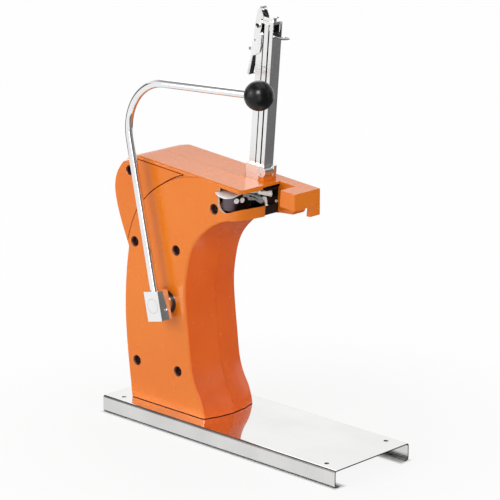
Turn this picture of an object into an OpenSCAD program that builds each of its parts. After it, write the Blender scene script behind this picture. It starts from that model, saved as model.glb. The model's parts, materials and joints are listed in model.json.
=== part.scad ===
// Bag clipping machine, hand operated, for a shop counter.
// Frame: origin at the middle of the base plate on the counter, +X to the jaw, +Y away from the
// handle, +Z up. Millimetres.

/* [Base plate] */
// length of the base plate
plate_l = 400; // [300:5:500]
// width of the base plate
plate_w = 135; // [110:1:180]
// height of the base plate channel
plate_h = 22; // [15:0.5:40]
// sheet thickness of the base plate
sheet = 1.5; // [1:0.1:3]
// outer radius of the plate bends
bend_r = 3.5; // [2:0.5:6]
// width of the inward lips
lip_w = 8; // [4:0.5:15]
// diameter of the counter fixing holes
fix_d = 6; // [4:0.5:9]
// distance of the fixing holes along the plate
fix_x = 350; // [250:5:450]
// distance of the fixing holes across the plate
fix_y = 108; // [80:1:120]

/* [Casing] */
// width of the casing
casing_w = 90; // [80:1:110]
// wall of the casing
wall = 3; // [2:0.2:5]
// rounding of the casing's side edges
edge_r = 3; // [1:0.2:5]
// thickness of the gasket under the casing
gasket_t = 0.8; // [0.5:0.1:2]
// gap of the seam between the casing halves
seam = 0.3; // [0.1:0.05:1]
// width of the groove round the rear cover
groove_w = 1.3; // [0.5:0.1:3]
// diameter of the screw recesses
recess_d = 11; // [9:0.5:14]
// forward tilt of the head
tilt = 4.8; // [0:0.1:10]
// thickness of the head's top plate
top_t = 5; // [4:0.5:8]

/* [Drive] */
// height of the shaft axis
pivot_z = 162.6; // [120:0.1:200]
// position of the shaft axis along the machine
pivot_x = -102.7; // [-130:0.1:-90]
// diameter of the main shaft
shaft_d = 18; // [12:0.5:22]
// radial running gap of shaft, pins and rods
run_gap = 0.06; // [0.02:0.01:0.1]
// radial gap of screws in their holes
screw_gap = 0.1; // [0.05:0.01:0.2]
// radius of the crank
crank_r = 95; // [80:1:110]
// stroke of the punch
stroke = 52; // [40:1:56]
// crank angle from the head's up direction at rest
crank_rest = -22.5; // [-30:0.5:-15]
// diameter of the crank roller
roller_d = 16; // [12:0.5:20]
// play of the roller in its slot on each side
roller_play = 0.55; // [0.4:0.05:1]

/* [Handle] */
// diameter of the handle bar
bar_d = 10; // [8:0.5:14]
// backward lean of the lower bar
bar_lean = 12.2; // [5:0.1:20]
// bend radius of the bar
bar_bend = 65; // [40:1:90]
// rise of the upper bar
bar_rise = 3; // [0:0.1:8]
// diameter of the ball knob
ball_d = 36; // [28:1:45]
// distance of the bar from the middle plane
bar_y = -62; // [-70:0.5:-58]

/* [Magazine] */
// height of the magazine above the head
mag_h = 197; // [150:1:250]
// length of the magazine section
mag_l = 25; // [20:0.5:32]
// width of the magazine section
mag_w = 16; // [12:0.5:22]
// wall of the magazine
mag_wall = 1.5; // [1:0.1:2.5]
// wire of the feed spring
feed_wire = 1.3; // [0.8:0.1:2]
// outer diameter of the feed spring
feed_d = 12; // [8:0.5:12]
// number of feed spring curls
feed_turns = 3; // [2:1:6]

/* [Hidden] */
$fn = 48;

half = casing_w / 2;
head_x = 72.7;
head_z = 324;
orange = [0.9, 0.42, 0.1];
steel = [0.8, 0.8, 0.82];
dark = [0.12, 0.12, 0.13];
zinc = [0.62, 0.62, 0.6];

// positions in the head's frame: a runs forward from the hook's front, h upward from the top plane
function hx(a, h) = head_x + a * cos(tilt) + h * sin(tilt);
function hz(a, h) = head_z - a * sin(tilt) + h * cos(tilt);
pivot_a = (pivot_x - head_x) * cos(tilt) - (pivot_z - head_z) * sin(tilt);
pivot_h = (pivot_x - head_x) * sin(tilt) + (pivot_z - head_z) * cos(tilt);
crank_end = asin(stroke / crank_r + sin(crank_rest));
pin_a = pivot_a + crank_r * sin(crank_rest);
pin_h = pivot_h + crank_r * cos(crank_rest);
echo(handle_range_deg = crank_end - crank_rest, pin_a = pin_a, pin_h = pin_h);

// frame plates: inner and outer faces across the machine
near_out = -30;
near_in = -26;
far_in = 28;
far_out = 34;

// head layout
hook_a = -22;
throat_a = -48;
lip_a = -45;
throat_y = 23.5;
hook_y = -2.5;
hook_h = -20.5;
hook_drop = 33;
hook_x = 40;
mag_a = -74;
mag_y = 16;
punch_h = -14;
mag_rear = mag_a - mag_l / 2;
mag_front = mag_a + mag_l / 2;
mag_near = mag_y - mag_w / 2;
mag_far = mag_y + mag_w / 2;

// casing outline seen from the handle side: x, z and the forward bulge at the middle plane
casing_low = plate_h - 4;
rear_line = [[-170.5, casing_low, 0], [-174, 48, 0], [-178.5, 88, 0], [-181.3, 130, 0], [-180.5, 165, 0],
    [-177.5, 197, 0], [-173.6, 222, 0]];
fin_line = [[-176, 228, 0], [-184.5, 247, 0], [-192.8, 270, 0], [-197.3, 290, 0], [-196.6, 305, 0],
    [-191.5, 318, 0], [-181.5, 330.5, 0], [-167, 339.6, 0]];
front_line = [[46, 289.8, 0], [24, 288.4, 0], [2.9, 285.7, 0], [-16, 279, 2], [-34.3, 268, 5],
    [-52.4, 251, 8], [-63.2, 233.2, 9], [-69.5, 210, 10], [-72.8, 184, 10], [-71.5, 155, 10],
    [-67.5, 118, 10], [-63.2, 82, 10], [-56.7, 61.5, 10], [-47.5, 45.5, 10],
    [-42.5, 32, 10], [-39.5, casing_low, 10]];

function pick(list, i) = list[max(0, min(len(list) - 1, i))];
function spline(p0, p1, p2, p3, t) = 0.5 * (2 * p1 + (p2 - p0) * t + (2 * p0 - 5 * p1 + 4 * p2 - p3) * t * t
    + (3 * p1 - p0 - 3 * p2 + p3) * t * t * t);
function smooth(list, n) = concat([for (i = [0 : len(list) - 2], k = [0 : n - 1])
    spline(pick(list, i - 1), list[i], list[i + 1], pick(list, i + 2), k / n)], [list[len(list) - 1]]);
top_rear = [hx(-224, 0), hz(-224, 0), 0];
top_front = [hx(0, 0) + 0.6, hz(0, 0), 0];
hook_low = [top_front[0], hz(0, -hook_drop), 0];
top_steps = 8;
back_chain = concat(smooth(rear_line, 3), smooth(fin_line, 3),
    [for (i = [0 : top_steps]) top_rear + (top_front - top_rear) * i / top_steps]);
outline = concat(back_chain, [hook_low], smooth(front_line, 3));
sides = len(outline);
// cap of triangles between the back chain and the front chain, both counted from the bottom
back_n = len(back_chain);
front_n = sides - back_n;
function strip(i, j) = i == back_n - 1 && j == front_n - 1 ? []
    : j == front_n - 1 || (i < back_n - 1 && (i + 1) / (back_n - 1) <= (j + 1) / (front_n - 1))
    ? concat([[i, i + 1, sides - 1 - j]], strip(i + 1, j))
    : concat([[i, sides - 2 - j, sides - 1 - j]], strip(i, j + 1));
cap = strip(0, 0);
function flat(v) = [v[0], v[1]];
function unit(v) = v / norm(v);
function left(v) = [-v[1], v[0]];
function edge_out(i) = left(unit(flat(outline[(i + 1) % sides]) - flat(outline[(i + sides) % sides])));
function miter(i) = let (m = edge_out((i + sides - 1) % sides) + edge_out(i)) 2 * m / (m * m);
corner_out = [for (i = [0 : sides - 1]) miter(i)];
function station(y, inset) = [for (i = [0 : sides - 1]) [
    outline[i][0] - corner_out[i][0] * inset + outline[i][2] * (1 - y * y / (half * half)),
    y, outline[i][1] - corner_out[i][1] * inset]];

// solid through stations, each given as y and inset
module loft(stations) {
    rows = len(stations);
    points = [for (s = stations) each station(s[0], s[1])];
    skin = [for (k = [0 : rows - 2], i = [0 : sides - 1]) let (j = (i + 1) % sides) each [
        [k * sides + i, (k + 1) * sides + i, (k + 1) * sides + j],
        [k * sides + i, (k + 1) * sides + j, k * sides + j]]];
    far_cap = [for (f = cap) [f[2], f[1], f[0]] + (rows - 1) * sides * [1, 1, 1]];
    polyhedron(points = points, faces = concat(skin, cap, far_cap), convexity = 8);
}
edge_rows = [for (t = [0 : 30 : 90]) edge_r * [1 - cos(t), 1 - sin(t)]];
near_rows = concat([for (e = edge_rows) [-half + e[0], e[1]]], [[-half / 2, 0]]);
far_rows = concat([[half / 2, 0]],
    [for (i = [len(edge_rows) - 1 : -1 : 0]) [half - edge_rows[i][0], edge_rows[i][1]]]);

module head() {
    translate([head_x, 0, head_z]) rotate([0, tilt, 0]) children();
}
// box from corner to corner
module box(low, high) {
    translate(low) cube(high - low);
}
// round bar across the machine
module across(x, z, y0, y1, d) {
    translate([x, y0, z]) rotate([-90, 0, 0]) cylinder(d = d, h = y1 - y0);
}
// round bar along the machine
module along(y, z, x0, x1, d) {
    translate([x0, y, z]) rotate([0, 90, 0]) cylinder(d = d, h = x1 - x0);
}
// side view outline made solid across the machine
module slab(y0, y1) {
    translate([0, y1, 0]) rotate([90, 0, 0]) linear_extrude(height = y1 - y0) children();
}
// front view outline made solid along the machine
module face(x0, x1) {
    translate([x0, 0, 0]) rotate([90, 0, 90]) linear_extrude(height = x1 - x0) children();
}
// plan outline made solid upward
module rise(z0, z1) {
    translate([0, 0, z0]) linear_extrude(height = z1 - z0) children();
}

// plan of the space in front of the curved lip, under the top plate
lip_curve = [[-70, -46.5], [-63.5, -44], [-57, -39.5], [-51.5, -32], [-47.5, -20], [lip_a, -6]];
module lip_space(grow) {
    offset(delta = grow) polygon(concat([[30, -70], [-76, -70]], [for (p = smooth(lip_curve, 3)) p],
        [[lip_a, throat_y], [hook_a, throat_y], [hook_a, hook_y], [30, hook_y]]));
}
module top_space() {
    polygon([[30, -70], [-58, -70], [-57, -46.2], [-52, -44.6], [-49, -41.5], [throat_a, -37],
        [throat_a, throat_y], [hook_a, throat_y], [hook_a, hook_y], [30, hook_y]]);
}
module head_cuts() {
    head() rise(-90, -top_t) lip_space(0);
    head() rise(-top_t - 1, 20) top_space();
    head() box([hook_a - 0.5, -60, -90], [30, throat_y + 2.5, hook_h]);
    head() box([hook_a - 0.5, -60, -90], [-wall, 60, hook_h]);
}
// opening under the guide, where the throat block shows
module throat_cut() {
    head() box([throat_a - 2.5, hook_y - 0.2, -60], [lip_a + 5, throat_y - 1.5, -top_t - 0.01]);
}
module head_walls() {
    head() rise(-95, 10) lip_space(wall);
    head() box([hook_a - wall, -60, -90], [30, 60, 20]);
}

// mouth beside the lip, seen from the handle side
module mouth() {
    head() slab(-70, 22) polygon(concat(smooth([[-85, -top_t - 1], [-85, -22], [-83.5, -29], [-78, -34],
        [-70, -34.5], [-60, -30], [-51, -26.8], [-35, -26]], 3),
        [[-35, -top_t - 0.01], [-85, -top_t - 0.01]]));
}

// rear cover, seen from the handle side
cover_curve = [[-177.5, 221], [-174.7, 228.1], [-165.6, 254.7], [-153.5, 277], [-137.7, 294],
    [-123.2, 305.6], [-96.4, 321.6], [-80.5, 328.8], [-74, 330.3]];
module cover_area(grow) {
    offset(delta = grow) polygon(concat([for (p = smooth(cover_curve, 3)) p],
        [[-73.2, 331.6], [-160, 338.6], [-230, 314], [-230, 221]]));
}

// shallow crease below the groove, which runs out at the top edge
crease_line = smooth([[-153, 277.6], [-141, 291], [-121, 306.8], [-100, 318.6], [-84, 325.4], [-67, 330],
    [-46, 332.8]], 3);
crease_w = 0.9;
crease_depth = 1.6;
module crease() {
    area = concat(shift(crease_line, crease_w / 2), back_to_front(shift(crease_line, -crease_w / 2)));
    slab(-half - 1, -half + crease_depth) polygon(area);
    slab(half - crease_depth, half + 1) polygon(area);
}

shell_screws = [[-20.5, 297.5], [-160.9, 230.3], [-86.9, 232.6], [-159.5, 73.3], [-85.7, 75]];
cover_screw = [-168.9, 321.2];
boss_d = 15;
screw_d = 4;
recess_edge = 1.3;
near_seat = -36;
far_seat = 38.5;

module near_boss(p) {
    across(p[0], p[1], -half + 2, near_out, boss_d);
}
module far_boss(p) {
    across(p[0], p[1], far_out, half - 2, boss_d);
}
module near_recess(p) {
    across(p[0], p[1], -half - 1, near_seat, recess_d);
    across(p[0], p[1], near_seat - 1, near_out + 1, screw_d + 2 * screw_gap + 0.4);
    translate([p[0], -half - 0.01, p[1]]) rotate([-90, 0, 0])
        cylinder(d1 = recess_d + 2 * recess_edge, d2 = recess_d, h = recess_edge);
}
module far_recess(p) {
    across(p[0], p[1], far_seat, half + 1, recess_d);
    across(p[0], p[1], far_out - 1, far_seat + 1, screw_d + 2 * screw_gap + 0.4);
    translate([p[0], half + 0.01 - recess_edge, p[1]]) rotate([-90, 0, 0])
        cylinder(d1 = recess_d, d2 = recess_d + 2 * recess_edge, h = recess_edge);
}

module base_plate() {
    side_y = plate_w / 2;
    color(steel) difference() {
        union() {
            box([-plate_l / 2, -side_y + bend_r, plate_h - sheet], [plate_l / 2, side_y - bend_r, plate_h]);
            for (s = [-1, 1]) {
                box([-plate_l / 2, s * (side_y - sheet / 2) - sheet / 2, bend_r],
                    [plate_l / 2, s * (side_y - sheet / 2) + sheet / 2, plate_h - bend_r]);
                box([-plate_l / 2, s * (side_y - (bend_r + lip_w) / 2) - (lip_w - bend_r) / 2, 0],
                    [plate_l / 2, s * (side_y - (bend_r + lip_w) / 2) + (lip_w - bend_r) / 2, sheet]);
                plate_bend(s * (side_y - bend_r), plate_h - bend_r, s, 1);
                plate_bend(s * (side_y - bend_r), bend_r, s, -1);
            }
        }
        for (x = [-1, 1], y = [-1, 1])
            translate([x * fix_x / 2, y * fix_y / 2, plate_h - 4]) cylinder(d = fix_d, h = 6);
        for (p = foot_holes)
            translate([p[0], p[1], plate_h - 4]) cylinder(d = foot_screw_d + 2 * screw_gap + 0.4, h = 6);
    }
}
module plate_bend(y, z, sy, sz) {
    intersection() {
        difference() {
            along(y, z, -plate_l / 2, plate_l / 2, 2 * bend_r);
            along(y, z, -plate_l / 2 - 1, plate_l / 2 + 1, 2 * (bend_r - sheet));
        }
        box([-plate_l, y + (sy > 0 ? 0 : -bend_r - 1), z + (sz > 0 ? 0 : -bend_r - 1)],
            [plate_l, y + (sy > 0 ? bend_r + 1 : 0), z + (sz > 0 ? bend_r + 1 : 0)]);
    }
}

// the far half alone reaches past hook_x; cutting blocks run out to reach
reach = plate_l;
module near_shell() {
    color(orange) difference() {
        union() {
            difference() {
                loft(concat(near_rows, [[-seam / 2, 0]]));
                head_cuts();
                difference() {
                    loft([[-half + wall, wall], [-half / 2, wall], [1, wall]]);
                    head_walls();
                }
            }
            for (p = shell_screws) near_boss(p);
        }
        mouth();
        throat_cut();
        for (p = shell_screws) near_recess(p);
        slab(-60, 10) cover_area(groove_w / 2);
        crease();
        box([hook_x, -reach, 0], [reach, reach, 2 * reach]);
        across(pivot_x, pivot_z, -half - 1, near_out, bush_flange_d + 1.4);
        box([-reach, -reach, 0], [reach, reach, plate_h + gasket_t]);
    }
}

module far_shell() {
    color(orange) difference() {
        union() {
            difference() {
                loft(concat([[hook_y, 0], [seam / 2 + 0.1, 0]], far_rows));
                box([-reach, -reach, 0], [hook_x, seam / 2, 2 * reach]);
                head_cuts();
                difference() {
                    loft([[-12, wall], [half / 2, wall], [half - wall, wall]]);
                    head_walls();
                }
            }
            for (p = shell_screws) far_boss(p);
            head() box([mag_rear - 3.4, mag_near - 2.6, -1], [mag_front + 3.4, mag_far + 3.4, 4.5]);
        }
        mouth();
        throat_cut();
        for (p = shell_screws) far_recess(p);
        slab(-10, 60) cover_area(groove_w / 2);
        crease();
        head() box([mag_rear - 0.6, mag_near - 0.6, -20], [mag_front + 0.6, mag_far + 0.6, 10]);
        head() box([lip_a + 1, throat_y - 2, -30], [hook_a - 2, far_in, -9]);
        head() box([hook_a - 5, far_in - 0.4, arm_low - 0.6], [-3.4, far_out + 0.4, -6.4]);
        head() box([hook_a - 4, 1.6, -17.9], [-4, far_out - 1, -5.6]);
        head() for (a = die_screw_at) across(a, -12, far_out - 1, 38.8, 9);
        box([-reach, -reach, 0], [reach, reach, plate_h + gasket_t]);
    }
}

// rubber ring between the casing and the plate, set in a little from the casing's faces
gasket_in = 0.3;
module base_gasket() {
    middle_rows = [-half / 2, 0, half / 2];
    color(dark) intersection() {
        difference() {
            loft(concat([[-half + gasket_in, edge_r], [-half + edge_r, gasket_in]],
                [for (y = middle_rows) [y, gasket_in]],
                [[half - edge_r, gasket_in], [half - gasket_in, edge_r]]));
            loft(concat([[-half + wall, wall]], [for (y = middle_rows) [y, wall]], [[half - wall, wall]]));
        }
        box([-reach, -reach, plate_h], [reach, reach, plate_h + gasket_t]);
    }
}

module rear_cover() {
    color(orange) difference() {
        union() {
            difference() {
                intersection() {
                    loft(concat(near_rows, far_rows));
                    slab(-60, 60) cover_area(-groove_w / 2);
                }
                loft([[-half + wall, wall], [half - wall, wall]]);
            }
            near_boss(cover_screw);
            far_boss(cover_screw);
        }
        near_recess(cover_screw);
        far_recess(cover_screw);
    }
}

// cap screw along its axis: head below z = 0, shank above
module cap_screw(d, length) {
    difference() {
        union() {
            translate([0, 0, -d]) cylinder(d = 1.75 * d, h = d);
            translate([0, 0, -0.01]) cylinder(d = d, h = length);
        }
        translate([0, 0, -d - 0.1]) cylinder(d = 0.95 * d, h = 0.6 * d, $fn = 6);
    }
}
// slotted screw along its axis: head below z = 0, shank above
module slot_screw(head_d, head_h, d, length) {
    difference() {
        union() {
            translate([0, 0, -head_h]) cylinder(d = head_d, h = head_h);
            translate([0, 0, -0.01]) cylinder(d = d, h = length);
        }
        box([-head_d, -head_d / 12, -head_h - 1], [head_d, head_d / 12, -head_h / 2]);
    }
}
module screw_far(x, y, z, d, length) {
    translate([x, y, z]) rotate([-90, 0, 0]) cap_screw(d, length);
}
module screw_near(x, y, z, d, length) {
    translate([x, y, z]) rotate([90, 0, 0]) cap_screw(d, length);
}

module casing_screws() {
    color(zinc) for (p = concat(shell_screws, [cover_screw])) {
        screw_far(p[0], near_seat, p[1], screw_d, 9.5);
        screw_near(p[0], far_seat, p[1], screw_d, 10);
    }
}

// frame plates
column = [[-164, plate_h], [-62, plate_h], [-72, 80], [-79, 140], [-81, 190], [-77, 216], [-67, 240],
    [-50, 262]];
column_rear = [[-150, 336.5], [-164, 331], [-178, 322], [-188, 305], [-188, 288], [-181, 264], [-168, 230],
    [-168, 215], [-172, 180], [-174, 140], [-171, 88]];
arm_a = hook_a - wall - 1.5;
arm_low = hook_h + 2.5;
arm = [[-46, -29], [arm_a, -29], [arm_a, arm_low], [-4, arm_low], [-4, -7], [-100, -6.5]];
spacers = [[-165, 262], [-33, 289], [-152, 110], [-92, 50]];
bush_d = 24;
bush_flange_d = 28;
foot_rear = -150;
foot_front = -100;
foot_wall = 8;
foot_floor = 5;
foot_h = 24;
foot_screw_d = 5;
foot_screw_z = plate_h + 14;
foot_screw_x = [foot_rear + 10, foot_front - 10];
foot_holes = [for (y = [-12, 14], x = foot_screw_x) [x, y]];

module frame_holes(y0, y1) {
    for (p = concat(shell_screws, [cover_screw])) across(p[0], p[1], y0, y1, screw_d + 2 * screw_gap);
    for (p = spacers) across(p[0], p[1], y0, y1, 5 + 2 * screw_gap);
    for (x = foot_screw_x) across(x, foot_screw_z, y0, y1, foot_screw_d + 2 * screw_gap);
    across(pivot_x, pivot_z, y0, y1, bush_d + 2 * run_gap);
}
module near_frame() {
    color(zinc) difference() {
        slab(near_out, near_in) polygon(concat(column, [[-28, 280], [-28, 326.5]], column_rear));
        frame_holes(near_out - 1, near_in + 1);
        across(stop_at[0], stop_at[1], near_out - 1, near_in + 1, 6 + 2 * screw_gap);
    }
}
module c_frame() {
    color(dark) difference() {
        slab(far_in, far_out) polygon(concat(column, [[-26, 281], [0, 292.5]],
            [for (p = arm) [hx(p[0], p[1]), hz(p[0], p[1])]], column_rear));
        frame_holes(far_in - 1, far_out + 1);
        head() for (p = guide_screw_at) across(p[0], p[1], far_in - 1, far_out + 1, 5 + 2 * screw_gap);
        head() for (a = die_screw_at) across(a, -12, far_in - 1, far_out + 1, 4 + 2 * screw_gap);
        head() across(anchor_a, anchor_h, far_in - 1, far_out + 1, 6 + 2 * screw_gap);
    }
}
module frame_spacers() {
    color(zinc) for (p = spacers) difference() {
        across(p[0], p[1], near_in, far_in, 12);
        across(p[0], p[1], near_in - 1, near_in + 15, 5 + 2 * screw_gap);
        across(p[0], p[1], far_in - 15, far_in + 1, 5 + 2 * screw_gap);
    }
}
module frame_screws() {
    color(zinc) for (p = spacers) {
        screw_far(p[0], near_out, p[1], 5, 16);
        screw_near(p[0], far_out, p[1], 5, 18);
    }
    color(zinc) for (x = foot_screw_x) {
        screw_far(x, near_out, foot_screw_z, foot_screw_d, 10);
        screw_near(x, far_out, foot_screw_z, foot_screw_d, 12);
    }
}
module foot(y0, y1, side) {
    difference() {
        union() {
            box([foot_rear, side > 0 ? y0 : y1 - foot_wall, plate_h],
                [foot_front, side > 0 ? y0 + foot_wall : y1, plate_h + foot_h]);
            box([foot_rear, y0, plate_h], [foot_front, y1, plate_h + foot_floor]);
        }
        for (x = foot_screw_x) across(x, foot_screw_z, y0 - 1, y1 + 1, foot_screw_d + 2 * screw_gap);
        for (p = foot_holes)
            translate([p[0], p[1], plate_h - 1])
                cylinder(d = foot_screw_d + 2 * screw_gap, h = foot_floor + 3);
    }
}
module frame_feet() {
    color(zinc) foot(near_in, -4, 1);
    color(zinc) foot(6, far_in, -1);
}
module base_screws() {
    color(zinc) for (p = foot_holes)
        translate([p[0], p[1], plate_h - sheet]) cap_screw(foot_screw_d, sheet + foot_floor - 0.1);
}

// shaft line
module ring(y0, y1, outer, inner) {
    difference() {
        across(pivot_x, pivot_z, y0, y1, outer);
        across(pivot_x, pivot_z, y0 - 1, y1 + 1, inner);
    }
}
shaft_end = 41;
module near_bush() {
    color(dark) difference() {
        union() {
            across(pivot_x, pivot_z, -half + 1, near_out, bush_flange_d);
            across(pivot_x, pivot_z, near_out - 1, near_in, bush_d);
        }
        across(pivot_x, pivot_z, -50, near_in + 1, shaft_d + 2 * run_gap);
    }
}
module far_bush() {
    color(dark) difference() {
        union() {
            across(pivot_x, pivot_z, far_in - 3, far_in, bush_flange_d);
            across(pivot_x, pivot_z, far_in - 1, far_out, bush_d);
        }
        across(pivot_x, pivot_z, far_in - 5, far_out + 1, shaft_d + 2 * run_gap);
    }
}
hub_near = -71;
hub_far = -53.5;
module main_shaft() {
    color(steel) difference() {
        across(pivot_x, pivot_z, hub_near, shaft_end, shaft_d);
        crank_place() box([-2.5 - 0.1, 1.6, shaft_d / 2 - 2.6], [2.5 + 0.1, 10.4, shaft_d]);
    }
}
module hub_place() {
    translate([pivot_x, 0, pivot_z]) rotate([0, -bar_lean, 0]) children();
}
bar_offset = -2.4;
module hub_block() {
    color(steel) hub_place() difference() {
        slab(hub_near, hub_far) polygon([[-12.6, -19], [-12.1, -19.5], [12.1, -19.5], [12.6, -19], [12.6, 18],
            [12.1, 18.5], [-12.1, 18.5], [-12.6, 18]]);
        across(0, 0, hub_near - 1, hub_far + 1, shaft_d + 2 * run_gap);
        translate([bar_offset, bar_y, 10]) cylinder(d = bar_d + 2 * run_gap, h = 20);
        along(bar_y, -6, 6, 20, 6 + 2 * screw_gap);
    }
}
module hub_set_screw() {
    color(zinc) hub_place() difference() {
        along(bar_y, -6, 7.2, 11.8, 6);
        along(bar_y, -6, 9, 20, 3, $fn = 6);
        across(0, 0, hub_near, hub_far, shaft_d + 2 * run_gap);
    }
}
module hub_sleeve() {
    color(steel) ring(hub_far, -44.4, 22, shaft_d + 2 * run_gap);
}
module shaft_collar() {
    color(zinc) ring(far_out + 0.4, far_out + 5.4, 28, shaft_d + 2 * run_gap);
}

// handle bar: lower leg, bend and upper leg in one plane
ball_x = 70.9;
ball_z = 454;
low_x = pivot_x + bar_offset * cos(bar_lean) - 10.2 * sin(bar_lean);
low_z = pivot_z - bar_offset * -sin(bar_lean) + 10.2 * cos(bar_lean);
bar_turn = 90 + bar_lean - bar_rise;
low_len = ((ball_z - low_z) * cos(bar_rise) - (ball_x - low_x) * sin(bar_rise))
    / (cos(bar_lean) * cos(bar_rise) + sin(bar_lean) * sin(bar_rise));
corner_x = low_x - low_len * sin(bar_lean);
corner_z = low_z + low_len * cos(bar_lean);
bend_cut = bar_bend * tan(bar_turn / 2);
up_x = corner_x + bend_cut * cos(bar_rise);
up_z = corner_z + bend_cut * sin(bar_rise);
arc_x = up_x + bar_bend * sin(bar_rise);
arc_z = up_z - bar_bend * cos(bar_rise);
up_len = norm([ball_x - up_x, ball_z - up_z]) - 2;
// the bend is upset a little, and each leg runs into it
bend_d = bar_d + 0.24;
bar_joint = 1;
module handle_bar() {
    color(steel) union() {
        translate([low_x, bar_y, low_z]) rotate([0, -bar_lean, 0])
            cylinder(d = bar_d, h = low_len - bend_cut + bar_joint);
        translate([arc_x, bar_y, arc_z]) rotate([90, 0, 0]) rotate([0, 0, 90 + bar_rise])
            rotate_extrude(angle = bar_turn) translate([bar_bend, 0]) circle(d = bend_d);
        translate([up_x, bar_y, up_z]) rotate([0, 90 - bar_rise, 0]) translate([0, 0, -bar_joint])
            cylinder(d = bar_d, h = up_len + bar_joint);
    }
}
module ball_knob() {
    color(dark) translate([ball_x, bar_y, ball_z]) rotate([0, 90 - bar_rise, 0]) difference() {
        sphere(d = ball_d, $fn = 64);
        translate([0, 0, -ball_d]) cylinder(d = bar_d + 2 * run_gap, h = ball_d - 1.8);
        translate([0, 0, -ball_d / 2 - 8.9]) cylinder(d = ball_d, h = 10);
    }
}

// crank on the shaft
crank_near = 2;
crank_far = 10;
module crank_place() {
    translate([pivot_x, 0, pivot_z]) rotate([0, tilt + crank_rest, 0]) children();
}
module crank_arm() {
    color(zinc) crank_place() difference() {
        union() {
            across(0, 0, crank_near, crank_far, 36);
            across(0, crank_r, crank_near, crank_far, 22);
            box([-10, crank_near, 0], [10, crank_far, crank_r]);
        }
        across(0, 0, crank_near - 1, crank_far + 1, shaft_d + 2 * run_gap);
        across(0, crank_r, crank_near - 1, crank_far + 1, 10 + 2 * run_gap);
        box([-2.5 - 0.1, crank_near - 1, 0], [2.5 + 0.1, crank_far + 1, shaft_d / 2 + 2.6]);
    }
}
module crank_key() {
    color(zinc) crank_place() box([-2.5, crank_near, shaft_d / 2 - 2.5], [2.5, crank_far, shaft_d / 2 + 2.5]);
}
module crank_pin() {
    color(steel) crank_place() across(0, crank_r, crank_near, 24, 10);
}
module crank_roller() {
    color(steel) crank_place() difference() {
        across(0, crank_r, 12, 20.5, roller_d);
        across(0, crank_r, 11, 22, 10 + 2 * run_gap);
    }
}
module roller_clip() {
    color(zinc) crank_place() difference() {
        across(0, crank_r, 21.6, 23, 14);
        across(0, crank_r, 21, 24, 10 + 2 * run_gap);
    }
}
stop_far = 60;
stop_at = [pivot_x + stop_far * sin(tilt + crank_rest) - 16.6 * cos(tilt + crank_rest),
    pivot_z + stop_far * cos(tilt + crank_rest) + 16.6 * sin(tilt + crank_rest)];
module stop_post() {
    color(zinc) across(stop_at[0], stop_at[1], near_out, crank_far, 6);
}
module stop_sleeve() {
    color(dark) difference() {
        across(stop_at[0], stop_at[1], crank_near - 4, crank_far, 12.6);
        across(stop_at[0], stop_at[1], crank_near - 5, crank_far + 1, 6 + 2 * screw_gap);
    }
}

// punch and its guide, in the head's frame
guide_rear = -130;
guide_front_a = -49;
guide_low = -27;
guide_screw_at = [[-124, -22.8], [-97, -22.8], [-56, -22.8]];
slide_y = 5;
slide_h = 4;
leg_a = pin_a - 23;
module punch_guide() {
    color(dark) head() difference() {
        box([guide_rear, 6, guide_low], [guide_front_a, far_in, -6.5]);
        box([guide_rear - 1, mag_y - slide_y - 0.4, punch_h - slide_h - 0.4],
            [guide_front_a + 1, mag_y + slide_y + 0.4, punch_h + slide_h + 0.4]);
        box([mag_rear + mag_wall, mag_near + mag_wall, punch_h],
            [mag_front - mag_wall, mag_far - mag_wall, 0]);
        for (p = guide_screw_at) across(p[0], p[1], 0, 40, 5 + 2 * screw_gap);
        for (a = plate_screw_at) across(a, -22.8, 0, 14, 3 + 2 * screw_gap);
        front_holes();
    }
}
module guide_screws() {
    color(zinc) head() for (p = guide_screw_at) screw_far(p[0], 6, p[1], 5, 26);
}
// fan shaped plate beside the slot; its screw, and a second one on the guide's face
fan_t = 1.4;
fan_end = mag_y - slide_y - 0.6;
fan = [[-13.6, -5.6], [-10.8, -5.6], [-10.2, -7.4], [fan_end, -9.8], [fan_end, -17.4], [-9.5, -10.8],
    [-13.6, -9.2]];
front_screw_d = 2.5;
front_screw_at = [[guide_front_a + fan_t, 8.3, -13.4], [guide_front_a, 20, -24.9]];
module guide_front() {
    color(steel) head() difference() {
        face(guide_front_a, guide_front_a + fan_t) polygon(fan);
        front_holes();
    }
}
module front_holes() {
    for (p = front_screw_at)
        along(p[1], p[2], guide_front_a - 4.2, guide_front_a + 5, front_screw_d + 2 * screw_gap);
}
module front_screws() {
    color(steel) head() for (p = front_screw_at) translate(p) rotate([0, -90, 0])
        slot_screw(3.6, 1.1, front_screw_d, 4);
}
module throat_block() {
    color(dark) head() union() {
        box([guide_front_a - 11, 7, guide_low - 3], [lip_a - 1.2, throat_y - 2, guide_low]);
        box([throat_a - 2, hook_y + 1, guide_low - 11.8], [lip_a - 1.2, throat_y - 2, guide_low]);
    }
}
die_screw_at = [-17, -9];
module die_block() {
    color(dark) head() difference() {
        box([hook_a, 2, -17.5], [-4.5, far_in, -6]);
        for (a = die_screw_at) across(a, -12, far_in - 10, far_in + 1, 4 + 2 * screw_gap);
    }
}
module die() {
    color(steel) head() difference() {
        box([hook_a - 2.5, 6, -17.3], [hook_a, 23, -6.2]);
        for (y = [mag_y - 2.7, mag_y + 2.7])
            translate([hook_a - 3.4, y, -30]) cylinder(r = 2.4, h = 40);
    }
}
module die_screws() {
    color(zinc) head() for (a = die_screw_at) screw_near(a, far_out, -12, 4, 15);
}
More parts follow.
